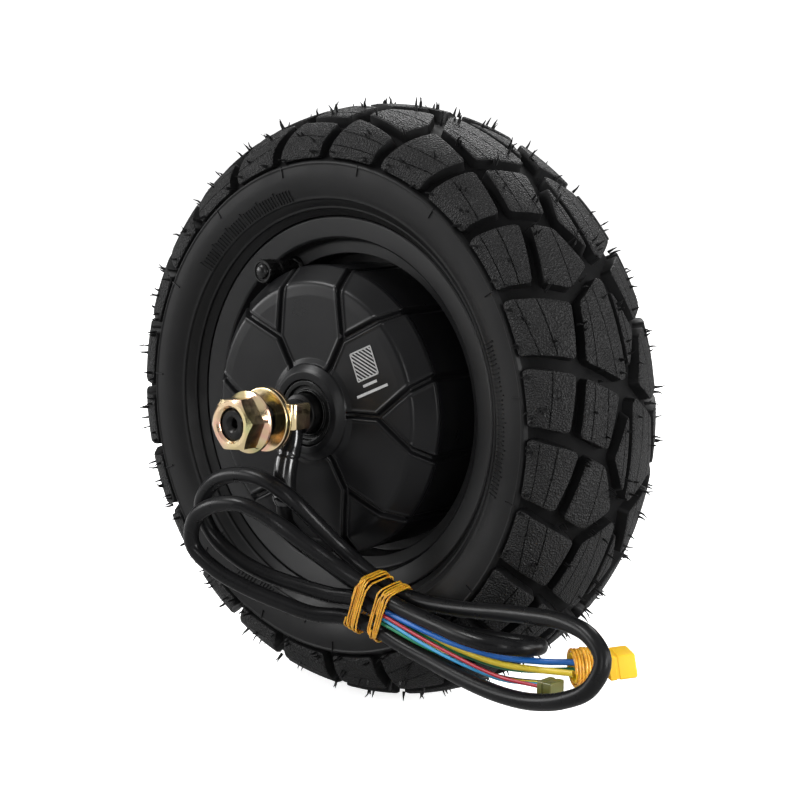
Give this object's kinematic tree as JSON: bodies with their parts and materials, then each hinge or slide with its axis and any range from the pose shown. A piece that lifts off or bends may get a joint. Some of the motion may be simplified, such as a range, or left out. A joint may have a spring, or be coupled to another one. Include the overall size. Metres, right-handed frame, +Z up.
{
  "type": "hub motor wheel",
  "caption": "Direct-drive hub motor in a scooter wheel with a block-tread tyre, threaded axle with flange nuts and a tied motor cable with a phase plug.",
  "frame": {"origin": "centre of the wheel, on the axle's axis in the tyre's middle plane", "axes": "+Y along the axle, away from the cable side; +Z up; +X towards the side where the cable's plug lies"},
  "size_m": [0.2653, 0.1719, 0.23],
  "materials": {
    "black_paint": "satin black paint",
    "tyre_rubber": "matt black rubber",
    "seal_rubber": "black rubber",
    "cable_pvc": "glossy black cable jacket",
    "zinc_gold": "yellow zinc plated steel",
    "black_steel": "blackened steel",
    "bearing_steel": "ground bearing steel",
    "lamination": "electrical steel",
    "copper": "enamelled copper",
    "magnet": "nickel plated magnets",
    "cast_aluminium": "cast aluminium",
    "circuit_board": "green board",
    "amber_rubber": "amber rubber band",
    "yellow_nylon": "yellow nylon",
    "clear_nylon": "olive nylon",
    "wire_blue": "blue insulation",
    "wire_yellow": "yellow insulation",
    "wire_green": "green insulation",
    "wire_red": "red insulation",
    "wire_black": "black insulation"
  },
  "bodies": {
    "axle_assembly": {"cable_strain_relief": "cable_pvc", "inner_lead": "cable_pvc", "main_cable": "cable_pvc", "flat_washer_near": "zinc_gold", "flat_washer_far": "zinc_gold", "tab_washer_near": "zinc_gold", "tab_washer_far": "zinc_gold", "flange_nut_near": "zinc_gold", "flange_nut_far": "zinc_gold", "axle": "black_steel", "bearing_inner_race_near": "bearing_steel", "bearing_inner_race_far": "bearing_steel", "stator_core": "lamination", "stator_winding": "copper", "stator_hub": "cast_aluminium", "hall_sensor_board": "circuit_board", "rubber_band_1": "amber_rubber", "rubber_band_2": "amber_rubber", "plug_rubber_band": "amber_rubber", "phase_plug": "yellow_nylon", "plug_tail_sleeve": "yellow_nylon", "sensor_plug": "clear_nylon", "phase_wire_blue": "wire_blue", "phase_wire_yellow": "wire_yellow", "phase_wire_green": "wire_green", "sensor_wire_red": "wire_red", "sensor_wire_blue": "wire_blue", "sensor_wire_green": "wire_green", "sensor_wire_yellow": "wire_yellow", "sensor_wire_black": "wire_black"},
    "wheel": {"hub_shell": "black_paint", "rear_cover": "black_paint", "cover_screw_1": "black_steel", "cover_screw_2": "black_steel", "cover_screw_3": "black_steel", "cover_screw_4": "black_steel", "cover_screw_5": "black_steel", "cover_screw_6": "black_steel", "tyre": "tyre_rubber", "valve_stem": "seal_rubber", "valve_cap": "seal_rubber", "back_iron": "lamination", "magnet_ring": "magnet", "bearing_outer_race_near": "bearing_steel", "bearing_outer_race_far": "bearing_steel", "axle_seal_near": "seal_rubber", "axle_seal_far": "seal_rubber"},
    "balls_near": {"bearing_balls_near": "bearing_steel"},
    "balls_far": {"bearing_balls_far": "bearing_steel"}
  },
  "joints": [
    {"name": "wheel_spin", "type": "hinge", "parent": "axle_assembly", "child": "wheel", "pos_m": [0, 0, 0], "axis": [0, 1, 0], "continuous": true},
    {"name": "balls_near_spin", "type": "hinge", "parent": "axle_assembly", "child": "balls_near", "pos_m": [0, -0.0354, 0], "axis": [0, 1, 0], "continuous": true},
    {"name": "balls_far_spin", "type": "hinge", "parent": "axle_assembly", "child": "balls_far", "pos_m": [0, 0.0305, 0], "axis": [0, 1, 0], "continuous": true}
  ],
  "couplings": [
    {"joint": "balls_near_spin", "follows": "wheel_spin", "ratio": 0.6},
    {"joint": "balls_far_spin", "follows": "wheel_spin", "ratio": 0.6}
  ]
}
